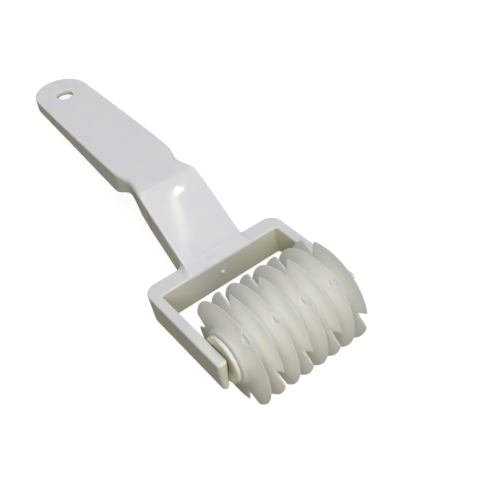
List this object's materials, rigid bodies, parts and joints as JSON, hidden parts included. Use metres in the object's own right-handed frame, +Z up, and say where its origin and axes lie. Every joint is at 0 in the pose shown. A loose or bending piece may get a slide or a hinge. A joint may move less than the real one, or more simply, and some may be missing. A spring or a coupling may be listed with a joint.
{
  "type": "lattice roller cutter",
  "caption": "Kitchen hand tool: notched plastic discs on one rod roll between the arms of a forked handle, cutting pastry into a lattice",
  "frame": {"origin": "on the table under the middle of the tool, which lies on the rims of its discs and the tail of its grip", "axes": "X along the roller's axis, Y from the roller to the tail of the grip, Z up"},
  "size_m": [0.065, 0.195, 0.0428],
  "materials": {
    "white_plastic": "smooth moulded, satin gloss",
    "natural_plastic": "uncoloured milky plastic, slightly translucent, satin"
  },
  "bodies": {
    "handle": {"handle_frame": "white_plastic"},
    "roller": {"cutting_disc_1": "natural_plastic", "cutting_disc_2": "natural_plastic", "cutting_disc_3": "natural_plastic", "cutting_disc_4": "natural_plastic", "cutting_disc_5": "natural_plastic", "cutting_disc_6": "natural_plastic", "cutting_disc_7": "natural_plastic", "cutting_disc_8": "natural_plastic", "core_rod": "natural_plastic", "end_collar_left": "natural_plastic", "end_collar_right": "natural_plastic"}
  },
  "joints": [
    {"name": "roller_spin", "type": "hinge", "parent": "handle", "child": "roller", "pos_m": [0, -0.0761, 0.0214], "axis": [1, 0, 0], "continuous": true}
  ]
}
